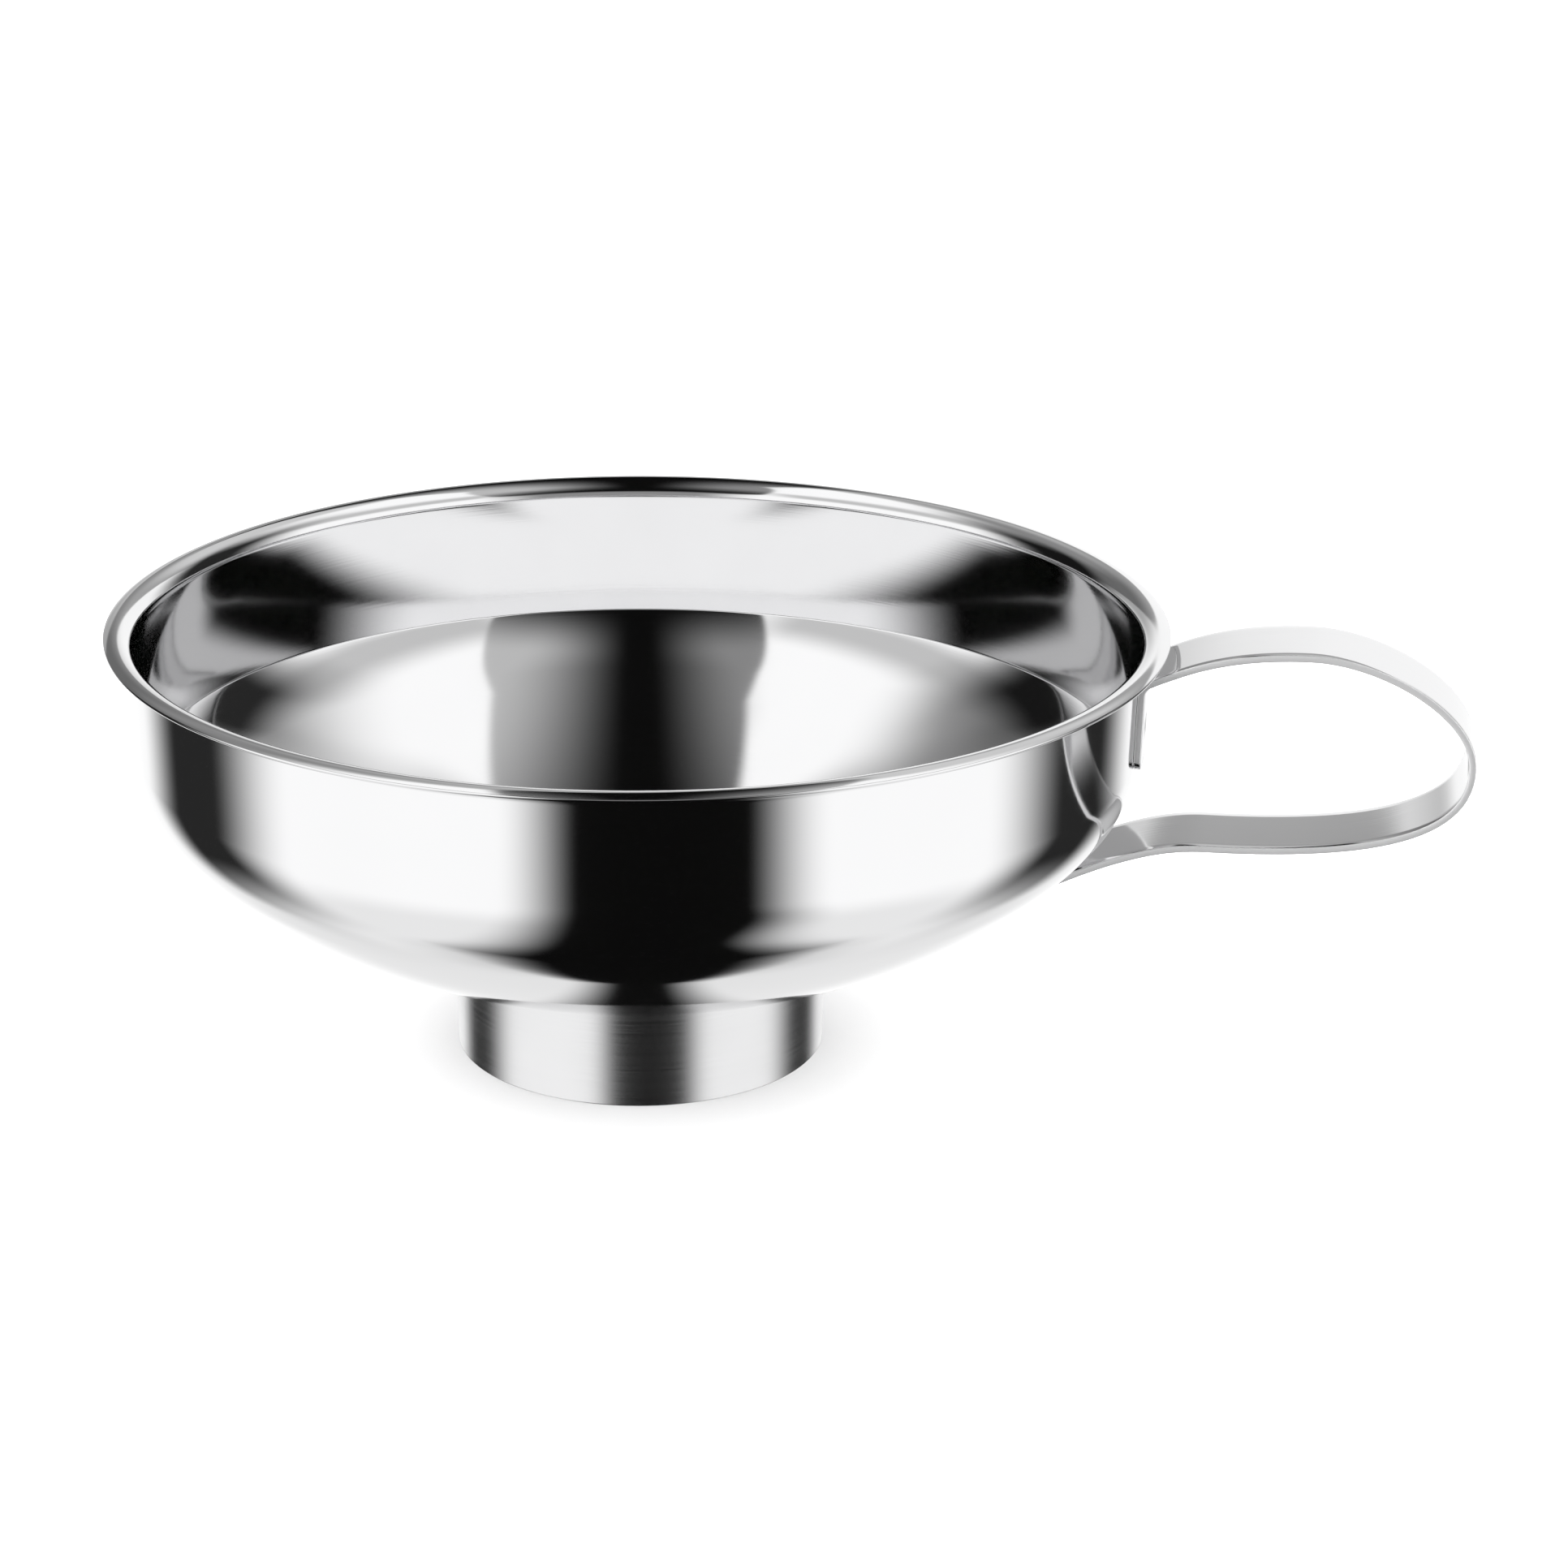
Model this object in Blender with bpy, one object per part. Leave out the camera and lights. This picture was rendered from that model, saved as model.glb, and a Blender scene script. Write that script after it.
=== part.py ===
"""Canning funnel of stainless steel sheet: a drawn bowl, a welded spout and a welded strip handle.

Metres, +Z up. The funnel's axis is the Z axis and the spout's lower end is at z = 0.
The handle points along +X. The three pieces are welded to each other and nothing moves.
"""

from math import acos, atan2, cos, pi, radians, sin, tan

import bmesh
import bpy
from mathutils import Vector
from mathutils.geometry import interpolate_bezier

# Overall sizes
RIM_RADIUS = 0.0750          # outer edge of the flared lip
RIM_HEIGHT = 0.0640          # spout's lower end to the top of the lip
HANDLE_LENGTH = 0.0426       # lip's outer edge to the outside of the handle's loop

# Bowl, on its inner and upper face
BOWL_SHEET = 0.0007
LIP_RADIUS = 0.00275         # curl of the lip
LIP_SWEEP = radians(127)     # how far the lip turns over from the upright wall
WALL_DEPTH = 0.0211          # top of the lip to the crease
WALL_TAPER = radians(1.4)    # how far the wall leans in towards its foot
CREASE_SLOPE = radians(26.5)     # slope of the dish from the upright, just below the crease
SHOULDER_RADIUS = 0.0255
SHOULDER_SLOPE = radians(48.8)   # slope where the shoulder runs into the dish
DISH_DEPTH = 0.0476          # top of the lip to the dish's foot, at the spout

# Spout
SPOUT_RADIUS = 0.0266        # outside
SPOUT_SHEET = 0.0008

# Handle, a bent strip
STRIP_WIDTH = 0.0140
STRIP_THICKNESS = 0.0010
STRIP_CORNER = 0.0020        # rounding of the strip's four corners
UPPER_TAB_DROP = 0.0061      # top of the lip to where the strip bends away from the wall
UPPER_TAB_CLEAR = 0.0038     # crease to the lower end of the upper tab
UPPER_BEND = 0.0020
UPPER_RISE = radians(28)     # slope at which the strip leaves the bend
CROWN_OUT = 0.0232           # wall to the loop's highest point
CROWN_RISE = 0.0005          # top of the lip to the loop's highest point
END_DROP = 0.0145            # top of the lip to the loop's outermost point
FOOT_OUT = 0.0097            # wall to the inner end of the level run under the loop
FOOT_DROP = 0.00695          # crease to that level run
LOWER_TAB_INSET = 0.0198     # wall to where the strip meets the dish
LOWER_TAB_LENGTH = 0.0130

# How far the loop keeps its direction at each join of its curves, as a share of the curve's run
RISE_FULLNESS = 0.31         # leaving the upper bend
CROWN_FULLNESS = 0.42        # on both sides of the crown
END_UPPER_FULLNESS = 0.53
END_LOWER_FULLNESS = 0.71
FOOT_OUTER_FULLNESS = 0.66
FOOT_INNER_FULLNESS = 0.24
TAB_FULLNESS = 0.53          # running onto the lower tab

# Fits
JOIN_GAP = 0.0003            # between pieces that are welded to each other

# Fineness of the faceted surfaces
TURNED_STEPS = 80
LIP_STEPS = 6
SHOULDER_STEPS = 4
DISH_STEPS = 8
BEND_STEPS = 4
LOOP_STEPS = 8
TAB_STEPS = 3
CORNER_STEPS = 3
SHARP_ANGLE = radians(24)    # edges that turn more than this are shaded sharp

# Finishes: colour and roughness of the bare steel
BOWL_FINISH = (0.80, 0.80, 0.81), 0.06
SPOUT_FINISH = (0.78, 0.78, 0.79), 0.10
HANDLE_FINISH = (0.76, 0.76, 0.77), 0.22


def clear_scene():
    for item in list(bpy.data.objects):
        bpy.data.objects.remove(item, do_unlink=True)


def steel(name, finish):
    colour, roughness = finish
    material = bpy.data.materials.new(name)
    material.use_nodes = True
    shader = material.node_tree.nodes["Principled BSDF"]
    shader.inputs["Base Color"].default_value = (*colour, 1.0)
    shader.inputs["Metallic"].default_value = 1.0
    shader.inputs["Roughness"].default_value = roughness
    return material


def arc(centre, radius, start, end, steps):
    """Points round a centre from one angle to another, both ends included."""
    turns = [start + (end - start) * i / steps for i in range(steps + 1)]
    return [centre + radius * Vector((cos(turn), sin(turn))) for turn in turns]


def offset(path, distance):
    """The path moved by a distance to its left as it runs, with mitred corners."""
    moved = []
    for i, point in enumerate(path):
        runs = []
        if i > 0:
            runs.append((point - path[i - 1]).normalized())
        if i < len(path) - 1:
            runs.append((path[i + 1] - point).normalized())
        sides = [Vector((-run.y, run.x)) for run in runs]
        middle = sum(sides, Vector((0, 0))).normalized()
        moved.append(point + middle * distance / middle.dot(sides[0]))
    return moved


class Dish:
    """The arc of the dish's inner face, from the end of the shoulder to the hole for the spout."""

    def __init__(self, start, end):
        chord = end - start
        half_turn = atan2(-chord.x, -chord.y) - SHOULDER_SLOPE
        self.radius = chord.length / (2 * sin(half_turn))
        self.end_slope = SHOULDER_SLOPE + 2 * half_turn
        inward = Vector((-cos(SHOULDER_SLOPE), sin(SHOULDER_SLOPE)))
        self.centre = start + self.radius * inward

    def under(self, gap, start_slope, end_slope, steps):
        """Points this far under the inner face, between two slopes of the dish."""
        return arc(self.centre, self.radius + gap, -start_slope, -end_slope, steps)

    def slope_at(self, across):
        """Slope of the inner face from the upright, this far from the funnel's axis."""
        return acos((across - self.centre.x) / self.radius)


def bowl_profile():
    """The bowl's inner face from the lip's edge down to the hole, and the dish it ends in."""
    lip_start = pi - WALL_TAPER - LIP_SWEEP
    lip_centre = Vector((RIM_RADIUS - LIP_RADIUS * cos(lip_start), RIM_HEIGHT - LIP_RADIUS))
    lip = arc(lip_centre, LIP_RADIUS, lip_start, pi - WALL_TAPER, LIP_STEPS)
    wall_fall = lip[-1].y - (RIM_HEIGHT - WALL_DEPTH)
    crease = lip[-1] - Vector((wall_fall * tan(WALL_TAPER), wall_fall))
    inward = Vector((-cos(CREASE_SLOPE), sin(CREASE_SLOPE)))
    shoulder_centre = crease + SHOULDER_RADIUS * inward
    shoulder = arc(shoulder_centre, SHOULDER_RADIUS, -CREASE_SLOPE, -SHOULDER_SLOPE, SHOULDER_STEPS)
    hole_edge = Vector((SPOUT_RADIUS + JOIN_GAP, RIM_HEIGHT - DISH_DEPTH))
    dish = Dish(shoulder[-1], hole_edge)
    foot = dish.under(0, SHOULDER_SLOPE, dish.end_slope, DISH_STEPS)
    return lip + shoulder + foot[1:], dish


def handle_path(wall_top, crease, dish):
    """The strip's centre line, from the upper tab's lower end round the loop to the lower tab's end."""
    stand_off = BOWL_SHEET + JOIN_GAP + STRIP_THICKNESS / 2
    up_wall = Vector((sin(WALL_TAPER), cos(WALL_TAPER)))
    off_wall = Vector((cos(WALL_TAPER), -sin(WALL_TAPER))) * stand_off
    tab_low = crease + up_wall * UPPER_TAB_CLEAR + off_wall
    tab_top = wall_top + off_wall + up_wall * (RIM_HEIGHT - UPPER_TAB_DROP - wall_top.y)
    bend_centre = tab_top + UPPER_BEND * Vector((cos(WALL_TAPER), -sin(WALL_TAPER)))
    bend = arc(bend_centre, UPPER_BEND, pi - WALL_TAPER, pi / 2 + UPPER_RISE, BEND_STEPS)

    wall = wall_top.x + BOWL_SHEET
    crown = Vector((wall + CROWN_OUT, RIM_HEIGHT + CROWN_RISE))
    end = Vector((RIM_RADIUS + HANDLE_LENGTH - STRIP_THICKNESS / 2, RIM_HEIGHT - END_DROP))
    foot = Vector((wall + FOOT_OUT, crease.y - FOOT_DROP))
    meet_slope = dish.slope_at(wall - LOWER_TAB_INSET)
    tab_turn = LOWER_TAB_LENGTH / dish.radius
    tab = dish.under(stand_off, meet_slope, meet_slope + tab_turn, TAB_STEPS)
    along_dish = Vector((sin(meet_slope), cos(meet_slope)))

    rise = Vector((cos(UPPER_RISE), sin(UPPER_RISE)))
    across, upright = Vector((1, 0)), Vector((0, 1))
    rise_run = crown.x - bend[-1].x
    knee_run = (foot - tab[0]).length
    from_bend = rise * RISE_FULLNESS * rise_run
    to_crown = across * CROWN_FULLNESS * rise_run
    from_crown = across * CROWN_FULLNESS * (end.x - crown.x)
    to_end = upright * END_UPPER_FULLNESS * (crown.y - end.y)
    from_end = upright * END_LOWER_FULLNESS * (end.y - foot.y)
    to_foot = across * FOOT_OUTER_FULLNESS * (end.x - foot.x)
    from_foot = across * FOOT_INNER_FULLNESS * knee_run
    to_tab = along_dish * TAB_FULLNESS * knee_run
    curves = [
        (bend[-1], bend[-1] + from_bend, crown - to_crown, crown),
        (crown, crown + from_crown, end + to_end, end),
        (end, end - from_end, foot + to_foot, foot),
        (foot, foot - from_foot, tab[0] + to_tab, tab[0]),
    ]
    loop = []
    for curve in curves:
        loop += [Vector(point[:2]) for point in interpolate_bezier(*curve, LOOP_STEPS + 1)[1:]]
    return [tab_low] + bend + loop + tab[1:]


def named_object(name, shape, material):
    bmesh.ops.recalc_face_normals(shape, faces=shape.faces)
    mesh = bpy.data.meshes.new(name)
    shape.to_mesh(mesh)
    shape.free()
    mesh.materials.append(material)
    mesh.shade_smooth()
    mesh.set_sharp_from_angle(angle=SHARP_ANGLE)
    piece = bpy.data.objects.new(name, mesh)
    bpy.context.collection.objects.link(piece)
    return piece


def turned(name, outline, material):
    """A ring turned round the Z axis from a closed outline of points (radius, height)."""
    shape = bmesh.new()
    rings = []
    for step in range(TURNED_STEPS):
        turn = 2 * pi * step / TURNED_STEPS
        rings.append([shape.verts.new((p.x * cos(turn), p.x * sin(turn), p.y)) for p in outline])
    for step, ring in enumerate(rings):
        following = rings[(step + 1) % TURNED_STEPS]
        for i in range(len(outline)):
            j = (i + 1) % len(outline)
            shape.faces.new((ring[i], ring[j], following[j], following[i]))
    return named_object(name, shape, material)


def bent_strip(name, path, material):
    """A strip of flat bar that follows a path in the XZ plane, centred on it, with rounded ends."""
    outline = offset(path, STRIP_THICKNESS / 2) + offset(path, -STRIP_THICKNESS / 2)[::-1]
    shape = bmesh.new()
    near, far = (
        [shape.verts.new((p.x, side * STRIP_WIDTH / 2, p.y)) for p in outline] for side in (-1, 1)
    )
    count, half = len(outline), len(path)
    for i in range(count):
        j = (i + 1) % count
        shape.faces.new((near[i], near[j], far[j], far[i]))
    for edge in (near, far):
        for i in range(half - 1):
            j = count - 1 - i
            shape.faces.new((edge[i], edge[i + 1], edge[j - 1], edge[j]))
    corners = [
        shape.edges.get((edge[i], edge[count - 1 - i])) for edge in (near, far) for i in (0, half - 1)
    ]
    bmesh.ops.bevel(
        shape, geom=corners, offset=STRIP_CORNER, segments=CORNER_STEPS, affect="EDGES", profile=0.5
    )
    return named_object(name, shape, material)


clear_scene()
inner_face, dish = bowl_profile()
outer_face = offset(inner_face, BOWL_SHEET)
turned("bowl", inner_face + outer_face[::-1], steel("bowl_steel", BOWL_FINISH))

spout_top = RIM_HEIGHT - DISH_DEPTH
spout_bore = SPOUT_RADIUS - SPOUT_SHEET
spout_outline = [
    Vector((SPOUT_RADIUS, 0)),
    Vector((SPOUT_RADIUS, spout_top)),
    Vector((spout_bore, spout_top)),
    Vector((spout_bore, 0)),
]
turned("spout", spout_outline, steel("spout_steel", SPOUT_FINISH))

wall_top, crease = inner_face[LIP_STEPS], inner_face[LIP_STEPS + 1]
bent_strip("handle", handle_path(wall_top, crease, dish), steel("handle_steel", HANDLE_FINISH))
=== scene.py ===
"""Canning funnel of polished stainless steel: a spun bowl, a welded spout and a bent strip handle."""

from math import acos, atan2, cos, pi, radians, sin, sqrt, tan

import bpy
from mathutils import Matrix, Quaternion, Vector
from mathutils.geometry import interpolate_bezier


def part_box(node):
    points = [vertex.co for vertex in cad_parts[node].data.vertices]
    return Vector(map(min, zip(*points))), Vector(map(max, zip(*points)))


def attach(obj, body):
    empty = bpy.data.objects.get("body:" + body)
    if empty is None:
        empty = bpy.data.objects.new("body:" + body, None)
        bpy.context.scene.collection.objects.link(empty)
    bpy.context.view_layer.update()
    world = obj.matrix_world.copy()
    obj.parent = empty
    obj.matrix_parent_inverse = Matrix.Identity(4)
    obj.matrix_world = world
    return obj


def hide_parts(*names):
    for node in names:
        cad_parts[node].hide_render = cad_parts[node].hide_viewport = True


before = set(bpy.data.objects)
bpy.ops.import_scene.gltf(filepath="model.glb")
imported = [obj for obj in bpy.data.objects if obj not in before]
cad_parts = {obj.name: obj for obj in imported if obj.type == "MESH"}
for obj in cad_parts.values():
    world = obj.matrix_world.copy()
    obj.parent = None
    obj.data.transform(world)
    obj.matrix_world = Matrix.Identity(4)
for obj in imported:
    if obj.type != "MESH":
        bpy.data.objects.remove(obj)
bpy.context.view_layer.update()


# ---------------------------------------------------------------- bowl
# One disc of 0.7 mm stainless sheet, spun over a form into a shallow dish and an upright wall. Its
# edge is rolled outwards into a lip, and a hole is pressed through the dish for the spout. It is
# buffed to a mirror inside and out, while it turns, which leaves faint lines round it.

bowl_high, spout_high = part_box("bowl")[1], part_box("spout")[1]
rim_radius, rim_height = bowl_high.x, bowl_high.z
spout_radius, dish_foot = spout_high.x, spout_high.z
sheet = 0.0007
lip_radius, lip_sweep, lip_edge = 0.00275, radians(127), 0.00028
wall_depth, wall_taper = 0.0211, radians(1.4)
crease_slope, crease_radius = radians(26.5), 0.0008
shoulder_radius, shoulder_slope = 0.0255, radians(48.8)
outer_bend_reach = 0.0042
hole_play = 0.00002
turns = 256
lip_steps, crease_steps, shoulder_steps, dish_steps = 28, 6, 14, 40


def arc(centre, radius, start, end, steps):
    """Points (radius, height) round a centre, from one angle to another."""
    return [
        centre + radius * Vector((cos(turn), sin(turn)))
        for turn in (start + (end - start) * i / steps for i in range(steps + 1))
    ]


def straight(start, end, shares=(0.01, 0.06, 0.2, 0.4, 0.6, 0.8, 0.94, 0.99)):
    """Points between two others, close together near both, so that the shading stays flat."""
    return [start.lerp(end, share) for share in shares]


def along(slope):
    """The way down a surface that leans this far from the upright, towards the axis."""
    return Vector((-sin(slope), -cos(slope)))


def inward(slope):
    """The way off a surface that leans this far, into the bowl."""
    return Vector((-cos(slope), sin(slope)))


def curve(start, start_pull, end_pull, end, steps=26):
    """Points on a smooth curve between two others, pulled one way at its start, another at its end."""
    points = interpolate_bezier(start, start + start_pull, end + end_pull, end, steps + 1)
    return [Vector(point[:2]) for point in points[1:]]


def turned(name, outline):
    """A shell turned round the Z axis: the first ring is extruded and scaled from point to point."""
    bpy.ops.object.select_all(action="DESELECT")
    bpy.ops.mesh.primitive_circle_add(
        vertices=turns, radius=outline[0].x, fill_type="NOTHING", location=(0, 0, outline[0].y)
    )
    piece = bpy.context.active_object
    piece.name = piece.data.name = name
    bpy.ops.object.mode_set(mode="EDIT")
    bpy.ops.mesh.select_all(action="SELECT")
    for here, there in zip(outline, outline[1:]):
        bpy.ops.mesh.extrude_region_move(TRANSFORM_OT_translate={"value": (0, 0, there.y - here.y)})
        grow = there.x / here.x
        bpy.ops.transform.resize(value=(grow, grow, 1), center_override=(0, 0, 0))
    bpy.ops.object.mode_set(mode="OBJECT")
    bpy.ops.object.transform_apply(location=True)
    return piece


def face_outwards():
    """Merges the active piece's doubled points, then turns all its faces outwards."""
    bpy.ops.object.mode_set(mode="EDIT")
    bpy.ops.mesh.select_all(action="SELECT")
    bpy.ops.mesh.remove_doubles(threshold=0.000001)
    bpy.ops.mesh.normals_make_consistent(inside=False)
    bpy.ops.object.mode_set(mode="OBJECT")


def ease_edges(piece, chosen, width, segments=4):
    """Rounds the active piece's sharp edges whose middle is in the chosen place."""
    bpy.ops.object.mode_set(mode="EDIT")
    bpy.ops.mesh.select_all(action="DESELECT")
    bpy.ops.mesh.select_mode(type="EDGE")
    bpy.ops.mesh.edges_select_sharp(sharpness=radians(50))
    bpy.ops.object.mode_set(mode="OBJECT")
    points = piece.data.vertices
    for edge in piece.data.edges:
        middle = (points[edge.vertices[0]].co + points[edge.vertices[1]].co) / 2
        edge.select = edge.select and chosen(middle)
    bpy.ops.object.mode_set(mode="EDIT")
    bpy.ops.mesh.bevel(offset=width, segments=segments, affect="EDGES")
    bpy.ops.object.mode_set(mode="OBJECT")


def fit(piece, node):
    """Puts a finished piece in the funnel, in place of its plain solid."""
    bpy.ops.object.shade_smooth_by_angle(angle=radians(35))
    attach(piece, "root")
    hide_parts(node)


# lip, from its outer edge inwards and down into the wall
upright = pi - wall_taper
lip_start = upright - lip_sweep
lip_centre = Vector((rim_radius - lip_radius * cos(lip_start), rim_height - lip_radius))
lip = arc(lip_centre, lip_radius, lip_start, upright, lip_steps)

# wall down to the crease, which has a small inside radius
wall_top, wall_foot = lip[-1], rim_height - wall_depth
crease = wall_top + along(wall_taper) * (wall_top.y - wall_foot) / cos(wall_taper)
reach = crease_radius * tan((crease_slope - wall_taper) / 2)
bend_start = crease - along(wall_taper) * reach
bend_centre = bend_start + inward(wall_taper) * crease_radius
bend = arc(bend_centre, crease_radius, -wall_taper, -crease_slope, crease_steps)

# shoulder, then the dish: one arc from the shoulder's end to the hole
shoulder_start = crease_slope + reach / shoulder_radius
shoulder_centre = crease + inward(crease_slope) * shoulder_radius
shoulder = arc(
    shoulder_centre, shoulder_radius, -shoulder_start, -shoulder_slope, shoulder_steps
)
hole_edge = Vector((spout_radius - hole_play, dish_foot))
chord = hole_edge - shoulder[-1]
half_turn = atan2(-chord.x, -chord.y) - shoulder_slope
dish_radius = chord.length / (2 * sin(half_turn))
dish_centre = shoulder[-1] + inward(shoulder_slope) * dish_radius
dish_end = shoulder_slope + 2 * half_turn
dish = arc(dish_centre, dish_radius, -shoulder_slope, -dish_end, dish_steps)

# the outer face lies one sheet behind, but stretches round the crease in a wide soft bend
outer_lip = arc(lip_centre, lip_radius - sheet, lip_start, upright, lip_steps)
outer_bend_start = crease - inward(wall_taper) * sheet - along(wall_taper) * outer_bend_reach
outer_bend_turn = crease_slope + outer_bend_reach / shoulder_radius
outer_bend_end = shoulder_centre - inward(outer_bend_turn) * (shoulder_radius + sheet)
pull = (outer_bend_end - outer_bend_start).length / 3
outer_bend = curve(
    outer_bend_start, along(wall_taper) * pull, -along(outer_bend_turn) * pull, outer_bend_end, 24
)
outer_shoulder = arc(
    shoulder_centre, shoulder_radius + sheet, -outer_bend_turn, -shoulder_slope, shoulder_steps
)
outer_dish = arc(dish_centre, dish_radius + sheet, -shoulder_slope, -dish_end, dish_steps)

inner_face = lip + straight(wall_top, bend_start) + bend + shoulder[1:] + dish[1:]
outer_face = (
    outer_lip
    + straight(outer_lip[-1], outer_bend_start)
    + [outer_bend_start]
    + outer_bend
    + outer_shoulder[1:]
    + outer_dish[1:]
)
bowl = turned("bowl_sheet", inner_face + outer_face[::-1] + inner_face[:1])
face_outwards()
ease_edges(bowl, lambda middle: middle.xy.length > rim_radius - 2 * sheet, lip_edge)
fit(bowl, "bowl")


class Shade:
    """One value in a node tree. Arithmetic on it adds the Math nodes that work it out."""

    def __init__(self, tree, socket=None):
        self.tree, self.socket = tree, socket

    def node(self, kind, settings=(), inputs=(), output=0):
        made = self.tree.nodes.new(kind)
        for name, setting in dict(settings).items():
            setattr(made, name, setting)
        for name, value in dict(inputs).items():
            if isinstance(value, Shade):
                self.tree.links.new(value.socket, made.inputs[name])
            else:
                made.inputs[name].default_value = value
        return Shade(self.tree, made.outputs[output])

    def math(self, operation, *values):
        return self.node("ShaderNodeMath", {"operation": operation}, enumerate(values))

    def __add__(self, other):
        return self.math("ADD", self, other)

    def __sub__(self, other):
        return self.math("SUBTRACT", self, other)

    def __rsub__(self, other):
        return self.math("SUBTRACT", other, self)

    def __mul__(self, other):
        return self.math("MULTIPLY", self, other)

    def __truediv__(self, other):
        return self.math("DIVIDE", self, other)

    __radd__, __rmul__ = __add__, __mul__

    def __neg__(self):
        return self.math("MULTIPLY", self, -1.0)

    def part(self, axis):
        return self.node("ShaderNodeSeparateXYZ", inputs={0: self}, output="XYZ".index(axis))

    def largest(self, other):
        return self.math("MAXIMUM", self, other)

    def size(self):
        return self.math("ABSOLUTE", self)

    def rise(self, start, end):
        """0 up to start, 1 from end on, and a smooth rise between them."""
        return self.node(
            "ShaderNodeMapRange",
            {"interpolation_type": "SMOOTHSTEP"},
            {"Value": self, "From Min": start, "From Max": end},
        )

    def fall(self, start, end):
        """1 up to start, 0 from end on."""
        return 1 - self.rise(start, end)

    def at(self, x, y, z):
        """The place whose three parts are these values."""
        return self.node("ShaderNodeCombineXYZ", inputs={0: x, 1: y, 2: z})

    def vector(self, operation, other):
        """A number worked out from this vector and another, such as how far apart they are."""
        inputs = {0: self, 1: other}
        return self.node("ShaderNodeVectorMath", {"operation": operation}, inputs, output=1)

    def noise(self, scale, detail):
        inputs = {"Vector": self, "Scale": scale, "Detail": detail}
        return self.node("ShaderNodeTexNoise", inputs=inputs)

    def between(self, first, second):
        """A colour this share of the way from one to the other."""
        inputs = {0: self, 6: first + (1,), 7: second + (1,)}
        return self.node("ShaderNodeMix", {"data_type": "RGBA"}, inputs, output=2)

    def relief(self, height):
        """The surface that rises by this height, in metres, where the value is 1."""
        return self.node("ShaderNodeBump", inputs={"Distance": height, "Height": self})


class Steel:
    """A piece's own metal, with the place on the piece that its patterns start from."""

    def __init__(self, name, piece):
        material = bpy.data.materials.new(name)
        material.use_nodes = True
        piece.data.materials.clear()
        piece.data.materials.append(material)
        self.shader = material.node_tree.nodes["Principled BSDF"]
        self.shader.inputs["Metallic"].default_value = 1.0
        self.place = Shade(material.node_tree).node("ShaderNodeTexCoord", output="Object")
        self.x, self.y, self.z = (self.place.part(axis) for axis in "XYZ")
        squares = self.x * self.x + self.y * self.y
        self.off_axis = squares.math("SQRT", squares)

    def lines_round(self, pitch, breaks, detail):
        """Fine lines round the axis, this far apart, with this many breaks to the metre."""
        across = (self.off_axis + self.z) / pitch
        return self.place.at(self.x * breaks, self.y * breaks, across).noise(1.0, detail)

    def feed(self, name, value):
        value.tree.links.new(value.socket, self.shader.inputs[name])


# mirror polish: fine lines round the axis from buffing, and faint clouds where the mop has wiped
buffed = Steel("buffed_bowl_steel", bowl)
buff_pitch, buff_breaks, buff_relief = 0.00022, 30, 0.0000012
fresh_buffed, dull_buffed = (0.83, 0.83, 0.835), (0.78, 0.78, 0.785)
lines = buffed.lines_round(buff_pitch, buff_breaks, 3.0)
clouds = buffed.place.noise(45.0, 3.0)

# the ring where the spout's weld is ground flush with the dish is a little duller and greyer
ring_inset, ring_width, ring_height = 0.0006, 0.0008, 0.0012
weld = (buffed.off_axis - spout_radius + ring_inset).size().fall(ring_width, 2 * ring_width)
weld = weld * buffed.z.fall(dish_foot + ring_height, dish_foot + ring_height + 0.001)
buffed.feed("Base Color", (clouds * 0.7 + weld * 0.4).between(fresh_buffed, dull_buffed))
buffed.feed("Roughness", 0.03 + clouds * 0.03 + lines * 0.035 + weld * 0.12)
buffed.feed("Normal", lines.relief(buff_relief))


# ---------------------------------------------------------------- spout
# A short length of stainless tube, cut square at its lower end and pushed up through the hole in the
# dish. It is welded round its top end from inside, and the weld is ground flush with the dish.

spout_sheet, foot_edge, mouth_edge = 0.0008, 0.0002, 0.0003
tube_foot, tube_top = Vector((spout_radius, 0)), Vector((spout_radius, dish_foot))


def thicken(piece, thickness, side):
    """Gives the active sheet its wall: behind its faces (-1), or half on each side of them (0)."""
    wall = piece.modifiers.new("wall", "SOLIDIFY")
    wall.thickness = thickness
    wall.offset = side
    wall.use_even_offset = True
    bpy.ops.object.modifier_apply(modifier=wall.name)


def is_mouth(point):
    """Whether a point is at the top of the tube, on its inside."""
    return point.z > dish_foot / 2 and point.xy.length < spout_radius - spout_sheet / 2


spout = turned("spout_tube", [tube_foot] + straight(tube_foot, tube_top) + [tube_top])
thicken(spout, spout_sheet, -1)
face_outwards()
ease_edges(spout, lambda middle: middle.z < dish_foot / 2, foot_edge)
ease_edges(spout, is_mouth, mouth_edge)
fit(spout, "spout")

# softer polish, with lines round it from turning the tube against a belt
belted = Steel("belted_spout_steel", spout)
belt_pitch, belt_breaks, belt_relief = 0.00026, 25, 0.000002
fresh_belted, dull_belted = (0.76, 0.76, 0.765), (0.70, 0.70, 0.705)
rings = belted.lines_round(belt_pitch, belt_breaks, 4.0)
patches = belted.place.noise(60.0, 2.0)
belted.feed("Base Color", patches.between(fresh_belted, dull_belted))
belted.feed("Roughness", 0.15 + patches * 0.05 + rings * 0.09)
belted.feed("Normal", rings.relief(belt_relief))


# ---------------------------------------------------------------- handle
# One strip of stainless flat bar, 14 mm wide and 1 mm thick, with its corners rounded and its edges
# tumbled smooth. One end is pressed flat on the wall, the strip rises over the lip's level and turns
# back in a loop, and its other end runs up under the dish. Both ends are spot-welded.

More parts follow.
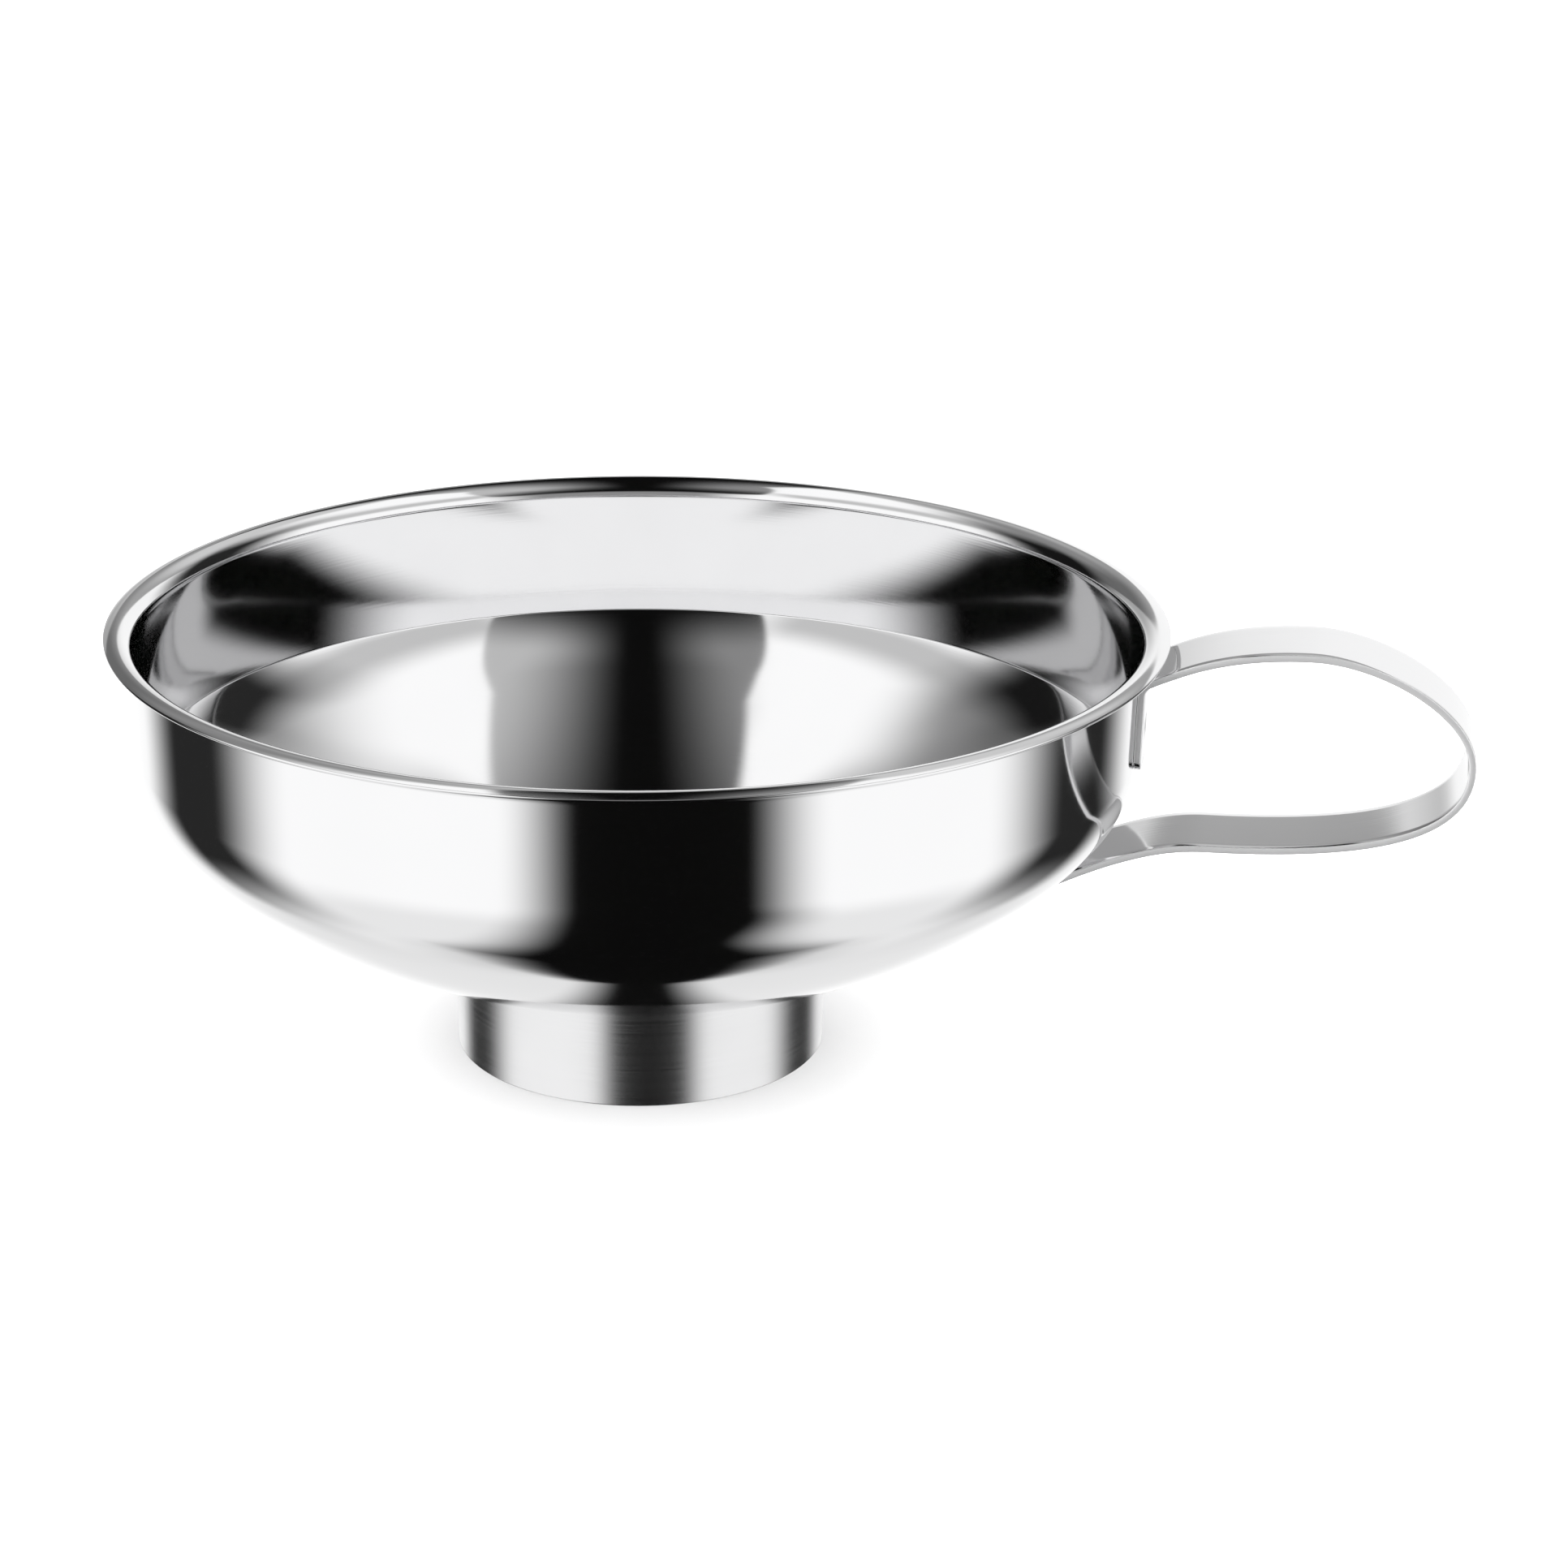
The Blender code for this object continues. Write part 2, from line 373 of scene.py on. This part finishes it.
handle_low, handle_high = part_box("handle")
strip_width, strip = handle_high.y - handle_low.y, 0.0010
strip_corner, strip_edge = 0.0020, 0.00016
upper_bend, upper_rise = 0.0020, radians(28)
tab_above_crease, bend_below_rim = 0.0038, 0.0061
crown_reach, crown_above_rim, end_below_rim = 0.0232, 0.0005, 0.0145
knee_reach, knee_below_crease = 0.0097, 0.00695
lower_tab_inset, lower_tab_length = 0.0198, 0.0130
wall = wall_top.x + sheet
stand_off = sheet + strip / 2

# upper tab, flat on the wall, and the bend at its top
off_wall = -inward(wall_taper)
tab_low = crease - along(wall_taper) * tab_above_crease + off_wall * stand_off
tab_top = wall_top + off_wall * stand_off
tab_top -= along(wall_taper) * (rim_height - bend_below_rim - wall_top.y)
upper_curl = arc(tab_top + off_wall * upper_bend, upper_bend, upright, pi / 2 + upper_rise, 10)

# loop: its crown, its outermost point, and the knee where the level run back turns to the dish
crown = Vector((wall + crown_reach, rim_height + crown_above_rim))
outer_end = Vector((handle_high.x - strip / 2, rim_height - end_below_rim))
knee = Vector((wall + knee_reach, crease.y - knee_below_crease))

# lower tab, along the underside of the dish
tab_meets = acos((wall - lower_tab_inset - dish_centre.x) / dish_radius)
tab_turn = lower_tab_length / dish_radius
lower_tab = arc(dish_centre, dish_radius + stand_off, -tab_meets, -tab_meets - tab_turn, 5)

# four curves join them, each drawn out at its ends by a share of the way that it covers
across, upward = Vector((1, 0)), Vector((0, 1))
rise = Vector((cos(upper_rise), sin(upper_rise)))
first_run, knee_run = crown.x - upper_curl[-1].x, (knee - lower_tab[0]).length
over_crown = across * 0.42
loop = curve(upper_curl[-1], rise * 0.31 * first_run, -over_crown * first_run, crown)
end_pull = upward * 0.53 * (crown.y - outer_end.y)
loop += curve(crown, over_crown * (outer_end.x - crown.x), end_pull, outer_end)
under_pull = -upward * 0.71 * (outer_end.y - knee.y)
loop += curve(outer_end, under_pull, across * 0.66 * (outer_end.x - knee.x), knee)
tab_pull = -along(tab_meets) * 0.53 * knee_run
loop += curve(knee, -across * 0.24 * knee_run, tab_pull, lower_tab[0])
strip_line = [tab_low] + upper_curl + loop + lower_tab[1:]


def mid_strip(point):
    """A point (radius, height) as a place in the strip's middle plane."""
    return Vector((point.x, 0, point.y))


def pick(piece, chosen):
    """Goes into edit mode with the points selected that are in the chosen place."""
    bpy.ops.object.mode_set(mode="EDIT")
    bpy.ops.mesh.select_mode(type="VERT")
    bpy.ops.mesh.select_all(action="DESELECT")
    bpy.ops.object.mode_set(mode="OBJECT")
    for vertex in piece.data.vertices:
        vertex.select = chosen(vertex.co)
    bpy.ops.object.mode_set(mode="EDIT")


# the strip: its first length is laid on the wall, and its end is drawn out from point to point
first = strip_line[1] - strip_line[0]
middle = (strip_line[0] + strip_line[1]) / 2
bpy.ops.object.select_all(action="DESELECT")
bpy.ops.mesh.primitive_plane_add(
    size=1, location=mid_strip(middle), rotation=(0, -atan2(first.y, first.x), 0)
)
handle = bpy.context.active_object
handle.name = handle.data.name = "handle_strip"
handle.scale = (first.length, strip_width, 1)
bpy.ops.object.transform_apply()
pick(handle, lambda point: point.z > middle.y)
for here, there in zip(strip_line[1:], strip_line[2:]):
    bpy.ops.mesh.extrude_region_move(TRANSFORM_OT_translate={"value": mid_strip(there - here)})
bpy.ops.object.mode_set(mode="OBJECT")

# its four corners are rounded, and it is cut lengthways so that the tabs can take the bowl's curve
ends, hair = (strip_line[0], strip_line[-1]), 0.0001
pick(handle, lambda point: min((point.xz - end).length for end in ends) < hair)
bpy.ops.mesh.bevel(offset=strip_corner, segments=8, affect="VERTICES")
columns = 10
for column in range(1, columns):
    bpy.ops.mesh.select_all(action="SELECT")
    bpy.ops.mesh.bisect(
        plane_co=(0, (column / columns - 0.5) * strip_width, 0), plane_no=(0, 1, 0)
    )
bpy.ops.object.mode_set(mode="OBJECT")

# two spot welds through each tab: the steel round each is cut into a close grid, then pressed in
weld_apart, weld_radius, weld_slope, weld_depth = 0.0064, 0.0011, 0.0008, 0.00014
weld_grid = 0.0003
upper_weld = tab_low.lerp(tab_top, 0.52)
lower_weld = (lower_tab[0] + lower_tab[-1]) / 2
weld_reach = weld_radius + weld_slope
sideways = Vector((0, 1, 0))
weld_spots = [
    mid_strip(weld) + sideways * half
    for weld in (upper_weld, lower_weld)
    for half in (-weld_apart / 2, weld_apart / 2)
]
grid_reach = weld_reach + weld_grid
grid_cuts = int(grid_reach / weld_grid)
grid = [weld_grid * cut for cut in range(-grid_cuts, grid_cuts + 1)]
for tab_end, tab_root, weld, spots in (
    (tab_low, tab_top, upper_weld, weld_spots[:2]),
    (lower_tab[-1], lower_tab[0], lower_weld, weld_spots[2:]),
):
    tab_middle = (tab_root + tab_end) / 2
    tab_reach = (tab_root - tab_end).length / 2 + grid_reach
    lengthways = mid_strip((tab_root - tab_end).normalized())
    cuts = [(mid_strip(weld) + lengthways * offset, lengthways) for offset in grid]
    cuts += [(spot + sideways * offset, sideways) for spot in spots for offset in grid]
    for place, direction in cuts:
        pick(handle, lambda point: (point.xz - tab_middle).length < tab_reach)
        bpy.ops.mesh.bisect(plane_co=place, plane_no=direction)
        bpy.ops.object.mode_set(mode="OBJECT")

# the tabs take the bowl's curve, which fades out where the strip leaves it, and the welds go in
wall_fade, dish_fade = 0.003, 0.012


def share_of(distance, whole):
    """How much of a whole length a distance is, from 0 to 1."""
    return min(1, max(0, distance / whole))


for vertex in handle.data.vertices:
    point = vertex.co
    on_wall = point.z > crease.y
    from_weld = min((point - spot).length for spot in weld_spots)
    dent = share_of(weld_reach - from_weld, weld_slope)
    press = weld_depth * dent * dent * (3 - 2 * dent)
    if on_wall and point.x < wall + strip + wall_fade:
        share = 1 - share_of(point.x - wall - strip, wall_fade)
        point.x += share * (sqrt(wall**2 - point.y**2) - wall) - press
    elif not on_wall and point.x < wall:
        swing = sqrt(point.x**2 + point.y**2) - point.x
        point.z += share_of(wall - point.x, dish_fade) * swing / tan(tab_meets) + press
thicken(handle, strip, 0)
face_outwards()
ease_edges(handle, lambda middle: True, strip_edge, 3)
fit(handle, "handle")

# satin faces with fine grain along the strip, duller in a ring round each weld, and pale cut edges:
# partly matte sheared steel, partly a painted highlight
satin = Steel("satin_handle_steel", handle)
grain_pitch, grain_breaks, grain_relief = 0.00024, 22, 0.0000015
fresh_satin, dull_satin = (0.82, 0.82, 0.825), (0.75, 0.75, 0.755)
grain = satin.place.at(satin.x * grain_breaks, satin.y / grain_pitch, satin.z * grain_breaks)
grain = grain.noise(1.0, 4.0)
smears = satin.place.noise(50.0, 2.0)
# painted highlight: this edge mask makes the strip's edges paler and less metallic so they stay light,
# besides the matte look of sheared steel
cut = satin.y.size().rise(strip_width / 2 - strip_edge, strip_width / 2 - strip_edge / 3)
stain = satin.place.vector("DISTANCE", weld_spots[0])
for spot in weld_spots[1:]:
    stain = stain.math("MINIMUM", stain, satin.place.vector("DISTANCE", spot))
stain = stain.fall(weld_reach * 0.6, weld_reach * 1.5)
# the edge mask pushes the edges to the fresh, paler colour: part of the painted edge highlight
wear = smears * 0.6 + grain * 0.4 + stain * 0.5 - cut
satin.feed("Base Color", wear.between(fresh_satin, dull_satin))
satin.feed("Roughness", 0.04 + smears * 0.03 + grain * 0.04 + stain * 0.10 + cut * 0.38)
# less metal at the edges lets them take the bright floor light: the rest of the painted edge highlight
satin.feed("Metallic", 1 - cut * 0.12)
satin.feed("Normal", grain.relief(grain_relief))


# ---------------------------------------------------------------- camera, floor and light
# The funnel stands on a plain pale floor in a light room. The camera stands a little above the lip's
# level, half a metre in front, and turned a little towards the handle.

view = bpy.data.cameras.new("camera")
camera = bpy.data.objects.new("camera", view)
bpy.context.scene.collection.objects.link(camera)
bpy.context.scene.camera = camera
view.sensor_width, view.lens = 36.0, 90.77
camera_yaw, camera_pitch, camera_roll = radians(-7.49), radians(-19.88), radians(0.55)
sight = Vector(
    (sin(camera_yaw) * cos(camera_pitch), cos(camera_yaw) * cos(camera_pitch), sin(camera_pitch))
)
camera.rotation_mode = "QUATERNION"
camera.rotation_quaternion = sight.to_track_quat("-Z", "Y") @ Quaternion((0, 0, 1), camera_roll)
camera.location = (0.0900, -0.5261, 0.2316)

floor_radius = 6
bpy.ops.object.select_all(action="DESELECT")
bpy.ops.mesh.primitive_circle_add(vertices=96, radius=floor_radius, fill_type="NGON")
floor = bpy.context.active_object
floor.name = "floor"
floor_paint = bpy.data.materials.new("floor_paint")
floor_paint.use_nodes = True
paint = floor_paint.node_tree.nodes["Principled BSDF"]
paint.inputs["Base Color"].default_value = (0.86, 0.86, 0.86, 1)
paint.inputs["Roughness"].default_value = 0.9
floor.data.materials.append(floor_paint)
floor.visible_glossy = False

room = bpy.data.worlds.new("room")
bpy.context.scene.world = room
room.use_nodes = True
room.cycles.sampling_method = "NONE"
background = room.node_tree.nodes["Background"]
background.inputs["Color"].default_value = (1, 1, 1, 1)

# Directions into the room: ahead is the camera's side of it, turn is how far round from there, and
# height how far above the level, both in degrees.
sky = Shade(room.node_tree)
way = sky.node("ShaderNodeTexCoord", output="Generated")
front_turn = radians(9.7)
ahead = way.vector("DOT_PRODUCT", (sin(front_turn), -cos(front_turn), 0))
side = way.vector("DOT_PRODUCT", (cos(front_turn), sin(front_turn), 0))
up = way.vector("DOT_PRODUCT", (0, 0, 1))
turn = sky.math("ARCTAN2", side, ahead).size() * (180 / pi)
height = sky.math("ARCSINE", up) * (180 / pi)

# What the steel mirrors once: two white walls of light and two ceiling panels, which part along the
# line of sight, so that a dark slot runs from the camera overhead to the back.
high = up.rise(0.30, 0.55)
behind, before = (-ahead).largest(0.0), ahead.largest(0.0)
notch = up.fall(-0.62, -0.52) * 0.10 - 0.05
low_left = (0.355 - behind * 0.6).largest(notch)
low_right = (0.505 - up.fall(-0.9, -0.5) * 0.15 - behind * 0.6).largest(notch)
high_left = up * 0.26 + before * 0.44 - behind * 0.15
high_right = up * 0.37 + before * 0.50 - behind * 0.15
left_edge = low_left * (1 - high) + high_left * high
right_edge = low_right * (1 - high) + high_right * high
blur = 0.14 - (behind.rise(0, 0.5) * 0.11).largest(high * 0.125)
clear_left = ((-side - left_edge) / blur).rise(-1, 1)
clear = clear_left.largest(((side - right_edge) / blur).rise(-1, 1))

# dark stands behind the walls, a gap beside the camera, and the dim back of the room
stands = turn.rise(84, 112) * turn.fall(128, 152) * height.rise(-60, -30) * height.fall(26, 58)
gap = turn.rise(28, 45) * turn.fall(90, 120) * height.rise(20, 32) * height.fall(38, 54)
dim = 0.08 + (height - side * 12).rise(16.4, 18.2) * 0.68 - height.rise(23, 34) * 0.30
back = turn.rise(125, 150) * dim
walls = (1.17 - back * height.fall(55, 62)) * (1 - stands * 0.98) * (1 - gap * 0.45)
walls = walls * (1 - height.fall(-42, -26) * 0.17) * (1 - height.fall(-80, -58) * 0.4)
walls = walls * (1 - height.rise(72, 86) * 0.9)
corner = (-side).rise(-0.15, 0.33) * behind.rise(0.05, 0.35)
walls = walls * (1 - corner * height.rise(-8, 8) * height.fall(45, 62) * 0.6)

# faint light inside the slot, overhead and low down
sheen = (side.rise(0.03, 0.36) * 0.58 + (-side).rise(0.03, 0.28) * 0.28) * high
sheen = sheen * ahead.fall(0.35, 0.85)
low_bar = height.rise(-8, 4) * height.fall(18, 30) * 0.3
once = clear * walls + (1 - clear) * (sheen + low_bar + 0.004)

# What it mirrors a second time, from inside the bowl, has a white front and top and a dim low back,
# and what it mirrors after that is light below and dark above the camera.
in_front = height.rise(8, 20) * ahead.rise(-0.1, 0.15)
overhead = height.rise(68, 76)
far_floor = turn.rise(130, 150) * height.rise(-40, -25) * height.fall(10, 16)
twice = once * (1 - in_front) * (1 - overhead) * (1 - far_floor * 0.6)
twice = twice + (turn.fall(18, 42) * in_front).largest(overhead) * 1.28
often = height.fall(20, 27) * 0.75 + turn.rise(28, 80) * height.rise(20, 27) * 1.45

# Ray Depth is 2 here after one mirroring. The floor is lit more strongly than the mirrored room, so
# that it stays white, and the camera sees plain white past it.
light_path = room.node_tree.nodes.new("ShaderNodeLightPath")
mirrored, seen, depth = (
    Shade(room.node_tree, light_path.outputs[name])
    for name in ("Is Glossy Ray", "Is Camera Ray", "Ray Depth")
)
second, third = depth.rise(2.4, 2.6), depth.rise(3.4, 3.6)
floor_light = 3.6
plain = floor_light - seen * (floor_light - 1)
reflected = once * (1 - second) + twice * (second - third) + often * third
strength = mirrored * reflected + (1 - mirrored) * plain
room.node_tree.links.new(strength.socket, background.inputs["Strength"])
bpy.context.scene.view_settings.view_transform = "Standard"
